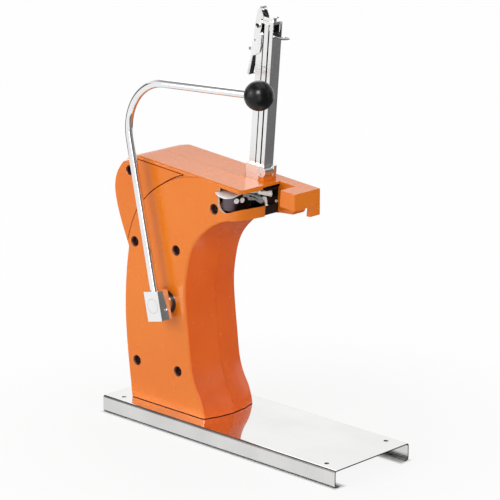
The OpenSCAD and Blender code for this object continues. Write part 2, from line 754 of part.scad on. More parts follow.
module punch_carriage() {
    slot_a = pin_a - 0.2;
    slot_half = roller_d / 2 + roller_play;
    color(zinc) head() difference() {
        union() {
            box([pin_a - 15, mag_y - slide_y, punch_h - slide_h], [-112, mag_y + slide_y, punch_h + slide_h]);
            box([pin_a - 15, 12, pin_h - 15], [pin_a + 15, mag_y + slide_y, punch_h]);
            box([leg_a, 14.5, -46], [pin_a - 14, 17.5, -34]);
        }
        box([slot_a - slot_half, 0, pin_h - slot_half],
            [slot_a + slot_half, 30, pivot_h + crank_r + slot_half]);
        for (a = blade_screw_at) translate([a, mag_y, punch_h - 10]) cylinder(d = 3 + 2 * screw_gap, h = 20);
        box([-124, 0, punch_h - slide_h - 1], [-100, 40, punch_h]);
        across(pin_a - 19, -40, 10, 20, 4);
    }
}
blade_screw_at = [-120, -115];
blade_tip = -87;
module punch_blade() {
    color(steel) head() difference() {
        union() {
            box([-112, mag_y - slide_y, punch_h - slide_h], [blade_tip, mag_y + slide_y, punch_h + slide_h]);
            box([-124, mag_y - slide_y, punch_h - slide_h], [-111, mag_y + slide_y, punch_h]);
        }
        for (a = blade_screw_at) translate([a, mag_y, punch_h - 10]) cylinder(d = 3 + 2 * screw_gap, h = 20);
        translate([blade_tip + 3, mag_y, punch_h - 10]) cylinder(r = 4, h = 20);
    }
}
module blade_screws() {
    color(zinc) head() for (a = blade_screw_at)
        translate([a, mag_y, punch_h - slide_h + 0.1]) cylinder(d = 3, h = 2 * slide_h - 0.2);
}

// tube along its points; its rings start outward from the z axis, or to the given side
function coil(r, pitch, turns, n) = [for (i = [0 : turns * n])
    [r * cos(360 * i / n), r * sin(360 * i / n), pitch * i / n]];
function with_ends(p, d) = concat([p[0] - [0, 0, 1.5 * d]], p, [p[len(p) - 1] + [0, 0, 1.5 * d]]);
function run_dir(p, i) = unit(p[min(len(p) - 1, i + 1)] - p[max(0, i - 1)]);
function out_dir(v) = unit([v[0], v[1], 0]);
module tube(p, d, n, side = [0, 0, 0]) {
    rows = len(p);
    points = [for (i = [0 : rows - 1], k = [0 : n - 1])
        let (t = run_dir(p, i), r = norm(side) > 0 ? side : out_dir(p[i]), o = unit(r - (r * t) * t),
            b = cross(t, o))
        p[i] + d / 2 * (o * cos(360 * k / n) + b * sin(360 * k / n))];
    skin = [for (i = [0 : rows - 2], k = [0 : n - 1]) let (j = (k + 1) % n) each [
        [i * n + k, (i + 1) * n + k, (i + 1) * n + j], [i * n + k, (i + 1) * n + j, i * n + j]]];
    low = [for (k = [0 : n - 1]) k];
    high = [for (k = [n - 1 : -1 : 0]) (rows - 1) * n + k];
    polyhedron(points = points, faces = concat(skin, [low, high]), convexity = 6);
}
function least_gap(p, d, skip) = min([for (i = [0 : len(p) - 1], j = [i + skip : 1 : len(p) - 1])
    norm(p[i] - p[j])]) - d;

cap_t = 3.4;
cap_low = mag_h - cap_t;
follower_drop = 12.6;
follower_top = mag_h - follower_drop;
follower_len = 26;
grip_h = follower_top - 11.9;
window_low = mag_h - 19;
grip_d = 2.4;
feed_len = cap_low - follower_top - 0.1;
feed_pitch = (feed_len - 3 * feed_wire) / feed_turns;
feed_coil = with_ends(coil((feed_d - feed_wire) / 2, feed_pitch, feed_turns, 8), feed_wire);
echo(feed_spring_gap = least_gap(feed_coil, feed_wire, 5));
module feed_spring() {
    color(zinc) head() translate([mag_a, mag_y, follower_top + 0.05 + 1.5 * feed_wire])
        tube(feed_coil, feed_wire, 6);
}
anchor_a = pin_a - 50;
anchor_h = -40;
return_wire = 1.5;
return_r = 4.6;
return_len = leg_a - anchor_a - 4 - 0.1;
return_coil = with_ends(coil(return_r, (return_len - 3 * return_wire) / 7, 7, 8), return_wire);
echo(return_spring_gap = least_gap(return_coil, return_wire, 5));
module return_spring() {
    color(zinc) head() translate([anchor_a + 4 + 0.05 + 1.5 * return_wire, mag_y, anchor_h - return_r])
        rotate([0, 90, 0]) rotate([0, 0, 180]) tube(return_coil, return_wire, 6);
}
module spring_anchor() {
    color(zinc) head() union() {
        across(anchor_a, anchor_h, 9, far_out, 6);
        box([anchor_a - 4, 12.5, anchor_h - 9], [anchor_a + 4, 19.5, anchor_h + 9]);
    }
}

// clip magazine, in the head's frame
slot_low = 19;
slot_high = cap_low - 0.2;
module magazine_channel() {
    color(steel) head() difference() {
        box([mag_rear, mag_near, -6.5], [mag_front, mag_far, mag_h]);
        box([mag_rear + mag_wall, mag_near + mag_wall, -10],
            [mag_front - mag_wall, mag_far - mag_wall, mag_h + 1]);
        box([mag_a - 2.8, mag_near - 1, slot_low], [mag_a + 7.4, mag_near + 3, slot_high]);
        box([mag_front - 3, mag_near + 0.9, window_low], [mag_front + 1, mag_far - 0.9, mag_h + 1]);
        box([mag_a - 2, mag_far - 3, slot_low], [mag_a + 2, mag_far + 1, grip_h + 9]);
        box([latch_a + 2.6, mag_near - 1, latch_h - 8.2], [mag_a - 2.7, mag_near + 3, slot_high]);
        across(latch_a, latch_h, 0, 40, 3 + 2 * run_gap);
    }
}
module magazine_strip() {
    color(steel) head()
        box([mag_a - 1.6, mag_near + 0.2, slot_low], [mag_a + 5, mag_near + mag_wall + 0.3, slot_high]);
}
module magazine_cap() {
    color(steel) head() union() {
        box([mag_rear + mag_wall, mag_near + mag_wall, cap_low],
            [mag_front - mag_wall, mag_far - mag_wall, mag_h]);
        box([mag_front - 6, mag_y - 2.5, mag_h - 1], [mag_front - 4.5, mag_y + 2.5, mag_h + 6]);
        box([mag_front - 6, mag_y - 2.5, mag_h + 4.5], [mag_front - 1, mag_y + 2.5, mag_h + 6]);
    }
}
collar_screw_at = [-83, -70];
module magazine_collar() {
    color(steel) head() difference() {
        union() {
            box([mag_rear - 2.4, mag_near - 2.6, 4.5], [mag_front + 2.4, mag_far + 2.4, 18]);
            box([mag_rear - 0.5, mag_near - 4.6, 0.05], [mag_front - 4, mag_near - 2.6, 18]);
            box([mag_rear + 1, mag_far + 2.4, 4.5], [mag_front - 5, mag_far + 4.4, 18]);
            across(mag_front - 1, 11.2, mag_near - 2.6, mag_far, 12);
            translate([mag_front + 2.4, mag_far - 1, 4.5]) cylinder(d = 7, h = 13.5);
        }
        box([mag_rear - 0.2, mag_near - 0.2, -1], [mag_front + 0.2, mag_far + 0.2, 20]);
        for (a = collar_screw_at) across(a, 11.5, mag_far, mag_far + 9, 3 + 2 * screw_gap);
    }
}
module collar_screws() {
    color(zinc) head() for (a = collar_screw_at) screw_near(a, mag_far + 4.4, 11.5, 3, 4.2);
}
module clip_follower() {
    color(dark) head() difference() {
        box([mag_rear + mag_wall + 0.4, mag_near + mag_wall + 0.8, follower_top - follower_len],
            [mag_front - mag_wall - 0.4, mag_far - mag_wall - 0.4, follower_top]);
        across(mag_a, grip_h, mag_y, mag_far + 1, grip_d + 2 * run_gap);
    }
}
// bent wire: out through the far slot, round, and back across the magazine's front
grip_front = mag_front + 1.8;
grip_path = [[mag_a, mag_y + 0.5, grip_h], [mag_a, mag_far + 1.5, grip_h], [mag_a, mag_far + 11, grip_h],
    [mag_a + 4, mag_far + 16.3, grip_h + 0.4], [grip_front - 4, mag_far + 16.3, grip_h + 1.1],
    [grip_front, mag_far + 11, grip_h + 1.8], [grip_front, mag_far - 1, grip_h + 3],
    [grip_front, mag_near, grip_h + 8.5]];
module follower_grip() {
    color(steel) head() tube(smooth(grip_path, 3), grip_d, 10, [0, 0, 1]);
}
latch_drop = 7.4;
latch_a = mag_rear + 2.5;
latch_h = mag_h - latch_drop;
lever_t = 1.2;
lever_near = mag_near - 0.5 - lever_t;
lever_w = 10.5;
// lever seen from the handle side, from its pivot: bent sheet down the back, and the front of its wall
lever_line = [[0.7, 23.2], [-2.8, 17.9], [-4.3, 8.3], [-5.7, -3.6], [-6.9, -16.7], [-8.7, -24.1], [-9.6, -31],
    [-9.3, -38.4], [-13.6, -61.8]];
lever_front = [[7.1, 11.9], [7.4, 9.6], [3.3, 8.6], [3.4, 4.3], [5.1, -1.3], [3.6, -8.2], [5.6, -10.5],
    [5.8, -26], [4.4, -32.5], [-2.1, -36.9], [-6.7, -38.6], [-10.8, -62]];
lever_beak = [[0.7, 23.2], [-2.8, 17.9], [-4.1, 9.6], [7.4, 9.6], [7.1, 11.9]];
lever_foot = [[-13.6, -61.8], [-10.8, -62], [-10.9, -63.2], [-13.8, -63]];
curl_at = [-11.2, -30.6];
curl_d = 6;
module latch_lever() {
    lever_far = lever_near + lever_w;
    color(steel) head() translate([latch_a, 0, latch_h]) difference() {
        union() {
            slab(lever_near, lever_near + lever_t) polygon(concat(lever_line, back_to_front(lever_front)));
            slab(lever_near, lever_far)
                polygon(concat(lever_line, back_to_front(shift(lever_line, lever_t))));
            slab(lever_near, lever_far) polygon(lever_foot);
            slab(lever_far - lever_t, lever_far) polygon(lever_beak);
            difference() {
                across(curl_at[0], curl_at[1], lever_near, lever_far, curl_d);
                across(curl_at[0], curl_at[1], lever_near - 1, lever_far + 1, curl_d - 2 * lever_t);
            }
        }
        box([-8, lever_near - 1, -20], [-3.4, lever_near + lever_t, -17.5]);
        across(0, 0, 0, 40, 3 + 2 * run_gap);
    }
}
// rubber buffer inside the lever, seen through the notch
lever_buffer = [[-5.6, -16.9], [-4.5, -17.2], [-5.4, -21.4], [-6.75, -21.2]];
module lever_pad() {
    color(dark) head() translate([latch_a, 0, latch_h])
        slab(lever_near + lever_t, lever_near + lever_w / 2) polygon(lever_buffer);
}
rivet_d = 6.6;
rivet_t = 1.5;
module latch_pin() {
    color(zinc) head() difference() {
        union() {
            across(latch_a, latch_h, lever_near - 0.3, mag_far + 0.3, 3);
            across(latch_a, latch_h, lever_near - 0.3 - rivet_t, lever_near - 0.3, rivet_d);
            across(latch_a, latch_h, mag_far, mag_far + rivet_t, rivet_d);
        }
        across(latch_a, latch_h, lever_near - 2 - rivet_t, lever_near - 0.5, 2.8);
    }
}

// neck guide in the mouth, in the head's frame
wing_rear = -91;
wing_low = -12;
wing_high = -10.5;
wing_in = 6;
plate_screw_at = [-87, -66];
plate_edge = [[-84.2, -41], [-84.3, -46], [-86.4, -48.8], [-78, -53.5], [-69, -56], [-62.5, -54.5],
    [-60, -49.5], [-60, -43.7], [-62.5, -34], [-64.2, -26.7], [-63.1, -16], [-58, -5], [-53, 4]];
module neck_plate() {
    color(steel) head() difference() {
        union() {
            rise(wing_low, wing_high) polygon(concat(smooth(plate_edge, 3),
                [[-53, wing_in], [wing_rear, wing_in], [wing_rear, -41]]));
            box([wing_rear, wing_in - 1.5, -26], [-62, wing_in, wing_high - 0.5]);
        }
        for (a = plate_screw_at) across(a, -22.8, 0, 10, 3 + 2 * screw_gap);
    }
}
module plate_screws() {
    color(zinc) head() for (a = plate_screw_at) screw_far(a, 4.5, -22.8, 3, 9);
}
wall_path = [[-82.2, -40], [-76, -40.2], [-68, -36.5], [-65.2, -28], [-64.6, -17], [-62.2, -11]];
function shift(p, d) = [for (i = [0 : len(p) - 1]) p[i] + d * left(run_dir(p, i))];
function back_to_front(p) = [for (i = [len(p) - 1 : -1 : 0]) p[i]];
// screws through the wall: position, height and turn of the head's face
wall_screw_at = [[-66.19, -32.65, -19.6, -15.8], [-64.9, -24.33, -19.7, -2.7]];
wall_screw_d = 3;
module wall_screw_place(p) {
    translate([p[0], p[1], p[2]]) rotate([0, 0, p[3]]) rotate([0, -90, 0]) children();
}
module neck_wall() {
    curve = smooth(wall_path, 3);
    color(dark) head() difference() {
        rise(-33, -12) polygon(concat(curve, back_to_front(shift(curve, 1.5))));
        for (p = wall_screw_at) wall_screw_place(p)
            translate([0, 0, -3]) cylinder(d = wall_screw_d + 2 * screw_gap, h = 6);
    }
}
module wall_screws() {
    color(steel) head() for (p = wall_screw_at) wall_screw_place(p) slot_screw(6.6, 1.6, wall_screw_d, 3);
}
// forked guide that hangs under the plate's edge
fork_at = [-63.6, -24, 0];
fork_turn = 60.8;
fork_t = 1.2;
fork = [[0, wing_low], [4, wing_low], [7.1, -11], [15.7, -13.6], [21.8, -15.8], [27.2, -16], [27.2, -22.8],
    [22.8, -24.3], [21, -23.4], [16.2, -20], [7.2, -19.7], [5.4, -15.8], [0, -15.2]];
fork_gap = [[7.9, -13.2], [15.8, -15.7], [20.2, -20.6], [16, -17.6], [8.4, -15.5]];
module neck_rail() {
    color(steel) head() translate(fork_at) rotate([0, 0, fork_turn]) difference() {
        slab(0, fork_t) polygon(fork);
        slab(-1, fork_t + 1) polygon(fork_gap);
    }
}
// bent finger that stands on the filler block
finger = [[-3.8, -14.7], [0.4, -15.6], [2.6, -21], [3.2, guide_low], [0.2, guide_low], [-1.3, -20.3]];
module neck_finger() {
    color(steel) head() union() {
        face(guide_front_a + 0.4, guide_front_a + 1.6) polygon(finger);
        box([guide_front_a + 0.4, 0.2, guide_low], [guide_front_a + 2.6, 3.2, guide_low + 1.2]);
    }
}

base_plate();
near_shell();
far_shell();
rear_cover();
casing_screws();
near_frame();
c_frame();
frame_spacers();
frame_screws();
frame_feet();
base_screws();
near_bush();
far_bush();
stop_post();
stop_sleeve();
punch_guide();
guide_screws();
guide_front();
throat_block();
die_block();
die();
die_screws();
neck_plate();
neck_wall();
wall_screws();
neck_rail();
neck_finger();
front_screws();
plate_screws();
magazine_channel();
magazine_strip();
magazine_cap();
magazine_collar();
collar_screws();
latch_pin();
feed_spring();
spring_anchor();
return_spring();
main_shaft();
hub_block();
hub_set_screw();
hub_sleeve();
shaft_collar();
handle_bar();
ball_knob();
crank_arm();
crank_key();
crank_pin();
crank_roller();
roller_clip();
punch_carriage();
punch_blade();
blade_screws();
clip_follower();
follower_grip();
latch_lever();
lever_pad();
base_gasket();
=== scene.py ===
import json
from math import cos, pi, radians, sin, tan

import bpy
from mathutils import Matrix, Vector


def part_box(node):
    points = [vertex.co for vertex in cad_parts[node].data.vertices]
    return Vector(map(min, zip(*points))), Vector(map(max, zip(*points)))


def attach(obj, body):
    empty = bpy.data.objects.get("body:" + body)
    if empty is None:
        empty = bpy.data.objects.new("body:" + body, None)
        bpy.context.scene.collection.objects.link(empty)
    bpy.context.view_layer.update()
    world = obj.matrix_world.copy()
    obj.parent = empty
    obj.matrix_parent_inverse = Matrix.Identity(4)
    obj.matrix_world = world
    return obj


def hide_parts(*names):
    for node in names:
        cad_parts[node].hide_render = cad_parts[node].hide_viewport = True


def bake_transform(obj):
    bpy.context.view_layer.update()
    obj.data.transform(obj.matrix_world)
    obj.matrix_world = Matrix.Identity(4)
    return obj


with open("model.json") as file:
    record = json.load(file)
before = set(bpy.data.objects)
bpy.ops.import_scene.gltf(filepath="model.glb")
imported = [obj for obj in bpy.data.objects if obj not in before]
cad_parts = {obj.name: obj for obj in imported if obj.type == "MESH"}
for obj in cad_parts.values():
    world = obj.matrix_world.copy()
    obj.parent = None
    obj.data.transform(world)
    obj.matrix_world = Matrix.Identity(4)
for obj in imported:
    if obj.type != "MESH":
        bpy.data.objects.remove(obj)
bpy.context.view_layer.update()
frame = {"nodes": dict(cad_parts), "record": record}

# Base plate.
# A folded channel of polished stainless sheet that stands on two inward lips.
# The casing and the frame feet are screwed to its top.
MM = 0.001
MERGE_GAP = 0.002 * MM
body_of_node = {}
for body_name, members in frame["record"]["behaviour"]["bodies"].items():
    for member in members:
        body_of_node[member] = body_name


def pick_alone(piece):
    """Makes this the only selected object."""
    bpy.ops.object.select_all(action="DESELECT")
    piece.select_set(True)
    bpy.context.view_layer.objects.active = piece


def apply_modifier(piece, kind, **values):
    """Adds a modifier with these values and applies it."""
    pick_alone(piece)
    modifier = piece.modifiers.new(kind.lower(), kind)
    for key, value in values.items():
        setattr(modifier, key, value)
    bpy.ops.object.modifier_apply(modifier=modifier.name)


def copy_of(node, name):
    """A merged copy of a solid, with its flat faces made whole."""
    piece = bpy.data.objects.new(name, frame["nodes"][node].data.copy())
    bpy.context.scene.collection.objects.link(piece)
    pick_alone(piece)
    bpy.ops.mesh.customdata_custom_splitnormals_clear()
    bpy.ops.object.mode_set(mode="EDIT")
    bpy.ops.mesh.select_all(action="SELECT")
    bpy.ops.mesh.remove_doubles(threshold=MERGE_GAP)
    bpy.ops.mesh.dissolve_limited(angle_limit=radians(0.3))
    bpy.ops.object.mode_set(mode="OBJECT")
    return piece


def smooth_faces(piece, angle):
    """Smooth shading up to this angle, with flat faces kept flat."""
    pick_alone(piece)
    bpy.ops.object.shade_smooth_by_angle(angle=radians(angle))
    apply_modifier(piece, "WEIGHTED_NORMAL", keep_sharp=True, weight=80)


def break_edges(piece, width, angle=40, segments=2):
    """Rounds every edge sharper than the angle."""
    apply_modifier(
        piece, "BEVEL", limit_method="ANGLE", angle_limit=radians(angle), width=width * MM,
        segments=segments, use_clamp_overlap=True, loop_slide=False)
    smooth_faces(piece, 38)


def coat(piece, material):
    """Gives the whole piece one material."""
    piece.data.materials.clear()
    piece.data.materials.append(material)


def fit(piece, material, *nodes):
    """Puts a finished piece in the place of its solids."""
    coat(piece, material)
    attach(piece, body_of_node[nodes[0]])
    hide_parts(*nodes)


def dress(node, name, width, material, angle=40, segments=2):
    """A copy of a solid with broken edges, in its place."""
    piece = copy_of(node, name)
    break_edges(piece, width, angle, segments)
    fit(piece, material, node)
    return piece


def new_finish(name):
    """An empty node material: the material, its node tree and its main shader."""
    material = bpy.data.materials.new(name)
    material.use_nodes = True
    return material, material.node_tree, material.node_tree.nodes["Principled BSDF"]


def place_texture(tree, stretch):
    """Object coordinates, stretched along the axes."""
    place = tree.nodes.new("ShaderNodeTexCoord")
    mapping = tree.nodes.new("ShaderNodeMapping")
    mapping.inputs["Scale"].default_value = stretch
    tree.links.new(place.outputs["Object"], mapping.inputs["Vector"])
    return mapping.outputs["Vector"]


def cloud(tree, scale, detail=3.0, stretch=(1, 1, 1)):
    """Noise on the object coordinates."""
    noise = tree.nodes.new("ShaderNodeTexNoise")
    noise.inputs["Scale"].default_value = scale
    noise.inputs["Detail"].default_value = detail
    tree.links.new(place_texture(tree, stretch), noise.inputs["Vector"])
    return noise.outputs["Fac"]


def spread(tree, value, low, high):
    """Maps the middle of a noise to a range of values."""
    span = tree.nodes.new("ShaderNodeMapRange")
    span.inputs["From Min"].default_value = 0.3
    span.inputs["From Max"].default_value = 0.7
    span.inputs["To Min"].default_value = low
    span.inputs["To Max"].default_value = high
    tree.links.new(value, span.inputs["Value"])
    return span.outputs["Result"]


def between(tree, value, first, second):
    """Mixes two colours by a noise."""
    ramp = tree.nodes.new("ShaderNodeValToRGB")
    ramp.color_ramp.elements[0].position = 0.35
    ramp.color_ramp.elements[0].color = (*first, 1)
    ramp.color_ramp.elements[1].position = 0.65
    ramp.color_ramp.elements[1].color = (*second, 1)
    tree.links.new(value, ramp.inputs["Fac"])
    return ramp.outputs["Color"]


def raise_surface(tree, shader, value, depth, strength):
    """Fine relief from a noise."""
    bump = tree.nodes.new("ShaderNodeBump")
    bump.inputs["Strength"].default_value = strength
    bump.inputs["Distance"].default_value = depth * MM
    tree.links.new(value, bump.inputs["Height"])
    tree.links.new(bump.outputs["Normal"], shader.inputs["Normal"])


def metal_finish(name, dull, bright, rough, grain_scale, grain, relief):
    """Bare metal: a colour that wanders a little, a worked grain and a range of gloss."""
    material, tree, shader = new_finish(name)
    shader.inputs["Metallic"].default_value = 1.0
    tree.links.new(between(tree, cloud(tree, 14), dull, bright), shader.inputs["Base Color"])
    marks = cloud(tree, grain_scale, 4.0, grain)
    tree.links.new(spread(tree, marks, *rough), shader.inputs["Roughness"])
    raise_surface(tree, shader, marks, 0.02, relief)
    return material


polished_sheet = metal_finish(
    "polished_sheet", (0.84, 0.84, 0.83), (0.89, 0.89, 0.885), (0.03, 0.075),
    260, (0.02, 1, 1), 0.012)
cut_end_painted_reflection = metal_finish(
    "cut_end_painted_reflection", (0.030, 0.030, 0.030), (0.055, 0.054, 0.052), (0.4, 0.6),
    900, (1, 1, 0.1), 0.1)
brushed_side = metal_finish(
    "brushed_side", (0.66, 0.66, 0.65), (0.73, 0.73, 0.72), (0.10, 0.18),
    260, (0.02, 1, 1), 0.03)
bend_painted_reflection = metal_finish(
    "bend_painted_reflection", (0.13, 0.13, 0.13), (0.19, 0.19, 0.185), (0.3, 0.45),
    300, (0.02, 1, 1), 0.05)
plate_channel = dress("base_plate", "plate_channel", 0.25, polished_sheet)
for finish in (cut_end_painted_reflection, brushed_side, bend_painted_reflection):
    plate_channel.data.materials.append(finish)
# The cut ends are painted near black and the bend faces dark grey: painted dark reflections.
CUT_END = 0.6
FLAT_WALL = 0.96
for face in plate_channel.data.polygons:
    if abs(face.normal.x) > CUT_END:
        face.material_index = 1
    elif abs(face.normal.y) > FLAT_WALL:
        face.material_index = 2
    elif abs(face.normal.z) < FLAT_WALL:
        face.material_index = 3

# Inner frame.
# Two steel plates with turned spacers, bolted to angle feet on the base plate.
# Zinc plated, apart from the black far plate that carries the die.
zinc_plate = metal_finish(
    "zinc_plate", (0.50, 0.50, 0.47), (0.62, 0.62, 0.60), (0.28, 0.42), 90, (1, 1, 1), 0.05)


def dark_finish(name, low, high, rough, metallic, relief, scale):
    """A black coating with a slight wander in tone and a fine tooth; it also makes painted shade."""
    material, tree, shader = new_finish(name)
    shader.inputs["Metallic"].default_value = metallic
    tree.links.new(between(tree, cloud(tree, 20), low, high), shader.inputs["Base Color"])
    tooth = cloud(tree, scale, 4.0)
    tree.links.new(spread(tree, tooth, *rough), shader.inputs["Roughness"])
    raise_surface(tree, shader, tooth, 0.02, relief)
    return material


blackened = dark_finish(
    "blackened_steel", (0.006, 0.006, 0.007), (0.014, 0.013, 0.015), (0.3, 0.45), 0.2, 0.06, 700)


def paint_solids(material, *nodes):
    """Solids that stay as they are get a finish."""
    for node in nodes:
        coat(frame["nodes"][node], material)


paint_solids(
    zinc_plate, "near_frame", "frame_spacers", "frame_screws", "frame_feet", "base_screws",
    "stop_post", "spring_anchor", "guide_screws", "die_screws", "blade_screws")
dress("c_frame", "far_frame_plate", 0.3, blackened)

# Shaft line.
# A ground steel shaft in two black bushes, with a sleeve between hub and bush and a collar inside.
# The shaft end shows in the hub as a thin ring.
ground_steel = metal_finish(
    "ground_steel", (0.66, 0.66, 0.66), (0.78, 0.78, 0.78), (0.12, 0.24), 320, (1, 1, 0.05), 0.04)
bright_end = metal_finish(
    "bright_end", (0.82, 0.82, 0.82), (0.88, 0.88, 0.88), (0.05, 0.11), 300, (1, 1, 1), 0.01)
bush_black = dark_finish(
    "bush_black", (0.008, 0.008, 0.008), (0.016, 0.015, 0.015), (0.3, 0.42), 0.0, 0.08, 900)
stop_black = dark_finish(
    "stop_rubber_black", (0.012, 0.012, 0.012), (0.02, 0.02, 0.02), (0.6, 0.75), 0.0, 0.15, 1200)
joint_line = dark_finish(
    "joint_line", (0.006, 0.006, 0.006), (0.012, 0.012, 0.012), (0.6, 0.8), 0.0, 0.1, 800)
turned_shaft = dress("main_shaft", "turned_shaft", 0.7, bright_end)
turned_shaft.data.materials.append(joint_line)
shaft_low, shaft_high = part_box("main_shaft")
shaft_axis = (shaft_low + shaft_high) / 2
RIM_DEPTH = 0.9 * MM
RIM_SLOPE = -0.97
for face in turned_shaft.data.polygons:
    if face.center.y < shaft_low.y + RIM_DEPTH and face.normal.y > RIM_SLOPE:
        face.material_index = 1
dress("hub_sleeve", "turned_sleeve", 0.5, ground_steel)
dress("near_bush", "black_bush_near", 0.6, bush_black)
paint_solids(bush_black, "far_bush")
paint_solids(stop_black, "stop_sleeve")
paint_solids(zinc_plate, "shaft_collar")

# Crank and punch.
# A keyed steel crank drives a carriage through a roller; the carriage pushes the blade.
# All of it works inside the head.
drawn_wire = metal_finish(
    "drawn_wire", (0.34, 0.34, 0.34), (0.46, 0.46, 0.46), (0.18, 0.3), 500, (1, 1, 1), 0.03)
paint_solids(zinc_plate, "crank_arm", "crank_key", "punch_carriage")
paint_solids(ground_steel, "crank_pin", "crank_roller", "punch_blade")
paint_solids(drawn_wire, "roller_clip")

# Return spring.
# A coil of drawn wire between the anchor block and the carriage leg.
# On the machine it stretches as the carriage goes forward; the coil here is built at one length.
tilt = radians(4.8)
head_point = Vector((72.7, 0, 324)) * MM


def in_head(forward, across, up):
    """A place given in the head's own tilted directions, in millimetres."""
    return head_point + MM * Vector((
        forward * cos(tilt) + up * sin(tilt), across, up * cos(tilt) - forward * sin(tilt)))


head_forward = in_head(1, 0, 0) - head_point
head_up = in_head(0, 0, 1) - head_point
STEPS_PER_TURN = 28


def coil_spring(name, start, end, coil_radius, wire, turns):
    """A round wire wound along a line, with closed ends."""
    length = (end - start).length
    bpy.ops.object.select_all(action="DESELECT")
    bpy.ops.mesh.primitive_circle_add(
        vertices=12, radius=wire / 2, fill_type="NOTHING", location=(coil_radius, 0, wire / 2),
        rotation=(pi / 2, 0, 0))
    piece = bpy.context.active_object
    piece.name = name
    bpy.ops.object.transform_apply(location=True, rotation=True, scale=True)
    steps = int(STEPS_PER_TURN * turns)
    apply_modifier(
        piece, "SCREW", axis="Z", angle=2 * pi * turns, screw_offset=length - wire, iterations=1,
        steps=steps, render_steps=steps, use_merge_vertices=False, use_smooth_shade=True)
    pick_alone(piece)
    bpy.ops.object.mode_set(mode="EDIT")
    bpy.ops.mesh.select_all(action="SELECT")
    bpy.ops.mesh.remove_doubles(threshold=MERGE_GAP)
    bpy.ops.mesh.select_all(action="DESELECT")
    bpy.ops.mesh.select_non_manifold()
    bpy.ops.mesh.fill_holes(sides=0)
    bpy.ops.mesh.select_all(action="SELECT")
    bpy.ops.mesh.normals_make_consistent(inside=False)
    bpy.ops.object.mode_set(mode="OBJECT")
    turn = Vector((0, 0, 1)).rotation_difference(end - start).to_matrix().to_4x4()
    piece.data.transform(Matrix.Translation(start) @ turn)
    smooth_faces(piece, 50)
    return piece


spring_low, spring_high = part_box("return_spring")
spring_middle = (spring_low + spring_high) / 2
SEAT_GAP = 0.4 * MM
spring_reach = head_forward.normalized() * ((spring_high.x - spring_low.x) / 2 - SEAT_GAP)
return_coil = coil_spring(
    "return_coil", spring_middle - spring_reach, spring_middle + spring_reach, 4.6 * MM, 1.5 * MM, 8)
coat(return_coil, drawn_wire)
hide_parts("return_spring")
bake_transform(return_coil)

# Casing.
# Two moulded halves and a rear cover in glossy orange, screwed to the frame plates.
# The screw recesses carry painted shade, the mouth's cut edge a pale painted highlight and the front
# a deeper, redder painted shade.
def moulded_finish(name, low, high, tone, rough, gloss):
    """Moulded plastic: a tone that wanders a little and a range of gloss, each on its own noise."""
    material, tree, shader = new_finish(name)
    tree.links.new(between(tree, cloud(tree, *tone), low, high), shader.inputs["Base Color"])
    tree.links.new(spread(tree, cloud(tree, *gloss), *rough), shader.inputs["Roughness"])
    return material, tree, shader


def head_place(point):
    """A place in the head's own directions, in millimetres."""
    offset = point - head_point
    return offset.dot(head_forward) / MM ** 2, offset.y / MM, offset.dot(head_up) / MM ** 2


orange_gloss, orange_tree, orange_shader = moulded_finish(
    "orange_gloss", (0.750, 0.170, 0.004), (0.795, 0.196, 0.007), (7, 2.0), (0.20, 0.29), (45, 4.0))
raise_surface(orange_tree, orange_shader, cloud(orange_tree, 950, 2.0), 0.03, 0.05)
recess_painted_shade = moulded_finish(
    "recess_painted_shade", (0.075, 0.010, 0.003), (0.110, 0.016, 0.005), (90,), (0.45, 0.6), (300,))[0]
edge_painted_highlight = moulded_finish(
    "edge_painted_highlight", (0.90, 0.74, 0.56), (0.94, 0.82, 0.68), (60,), (0.3, 0.45), (300,))[0]
front_orange_painted_shade = moulded_finish(
    "front_orange_painted_shade", (0.770, 0.105, 0.002), (0.810, 0.124, 0.004), (14,), (0.24, 0.28), (60,))[0]

near_half = dress("near_shell", "casing_near_half", 0.45, orange_gloss, 42)
far_half = dress("far_shell", "casing_far_half", 0.45, orange_gloss, 42)
rear_cover = dress("rear_cover", "casing_rear_cover", 0.45, orange_gloss, 42)

# The corners of the screws that lie close together give each screw's axis.
SCREW_REACH = 12 * MM
screw_rims = []
for corner in frame["nodes"]["casing_screws"].data.vertices:
    spot = Vector((corner.co.x, 0, corner.co.z))
    for rim in screw_rims:
        if (spot - rim[0]).length < SCREW_REACH:
            rim.append(spot)
            break
    else:
        screw_rims.append([spot])
screw_axes = [sum(rim, Vector()) / len(rim) for rim in screw_rims]
# Faces round each screw's recess are painted deep maroon: painted shade in the recesses.
RECESS_REACH = 6.5 * MM
OUTER_FACE = 44.6 * MM
for moulding in (near_half, far_half, rear_cover):
    moulding.data.materials.append(recess_painted_shade)
    for face in moulding.data.polygons:
        spot = Vector((face.center.x, 0, face.center.z))
        in_recess = any((spot - axis).length < RECESS_REACH for axis in screw_axes)
        if in_recess and abs(face.center.y) < OUTER_FACE:
            face.material_index = 1

# The cut faces round the mouth get a pale painted highlight, and then the faces below it that look
# ahead get a deeper painted shade.
MOUTH_REAR, MOUTH_FRONT = -87, -34
MOUTH_LOW, MOUTH_HIGH = -37, -3
MOUTH_SKIN = -41.8
CUT_SLOPE = 0.5
near_half.data.materials.append(edge_painted_highlight)
for face in near_half.data.polygons:
    forward, across, up = head_place(face.center)
    in_mouth = MOUTH_REAR < forward < MOUTH_FRONT and MOUTH_LOW < up < MOUTH_HIGH
    if in_mouth and abs(face.normal.y) < CUT_SLOPE and across < MOUTH_SKIN:
        face.material_index = 2
